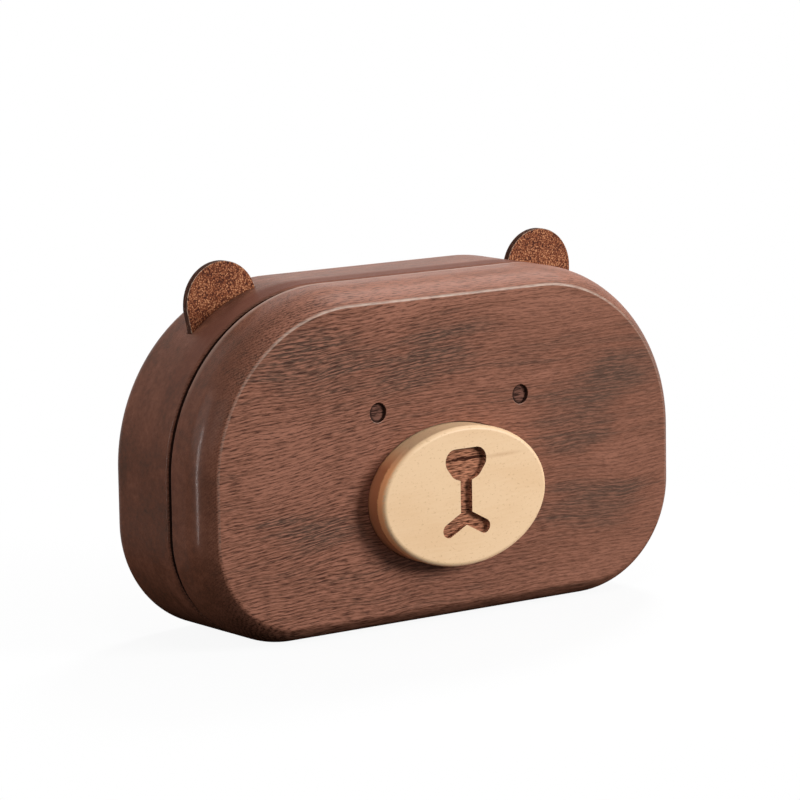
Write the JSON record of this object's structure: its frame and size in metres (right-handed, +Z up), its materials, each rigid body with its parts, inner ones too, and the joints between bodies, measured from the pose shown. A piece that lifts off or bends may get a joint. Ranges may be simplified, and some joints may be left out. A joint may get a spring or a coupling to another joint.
{
  "type": "travel jewelry box",
  "caption": "Small hinged wooden travel jewelry box shaped as a bear's head, with leather ears, a raised oval muzzle, magnetic closing, a lined tray with ring rolls, and a mirror in the lid.",
  "frame": {"origin": "middle of the object's footprint, on the surface that it stands on", "axes": "+X across the face to the right as seen from the front, the face looks towards -Y, +Z up"},
  "size_m": [0.12, 0.038, 0.075],
  "materials": {
    "walnut": "satin oiled walnut with fine dark grain",
    "beech": "satin beech, burnt brown in the engraving",
    "leather": "fine grained brown leather with dark edges",
    "brass": "polished brass",
    "nickel": "nickel plated",
    "velvet": "short velvet",
    "mirror_glass": "silvered glass"
  },
  "bodies": {
    "case": {"case_body": "walnut", "ear_left": "leather", "ear_right": "leather", "hinge_left_case_leaf": "brass", "hinge_left_pin": "brass", "hinge_left_case_screw_1": "brass", "hinge_left_case_screw_2": "brass", "hinge_right_case_leaf": "brass", "hinge_right_pin": "brass", "hinge_right_case_screw_1": "brass", "hinge_right_case_screw_2": "brass", "magnet_left_case": "nickel", "magnet_right_case": "nickel", "case_liner": "velvet", "divider_left": "velvet", "divider_right": "velvet", "divider_cross": "velvet", "ring_roll_1": "velvet", "ring_roll_2": "velvet", "ring_roll_3": "velvet", "ring_roll_4": "velvet", "ring_roll_5": "velvet", "ring_roll_6": "velvet"},
    "lid": {"face_lid": "walnut", "muzzle_plate": "beech", "hinge_left_lid_leaf": "brass", "hinge_left_lid_screw_1": "brass", "hinge_left_lid_screw_2": "brass", "hinge_right_lid_leaf": "brass", "hinge_right_lid_screw_1": "brass", "hinge_right_lid_screw_2": "brass", "magnet_left_lid": "nickel", "magnet_right_lid": "nickel", "lid_lining": "velvet", "mirror": "mirror_glass"}
  },
  "joints": [
    {"name": "lid_hinge", "type": "hinge", "parent": "case", "child": "lid", "pos_m": [0, -0.0017, 0.0016], "axis": [1, 0, 0], "range_deg": [0, 105]}
  ]
}
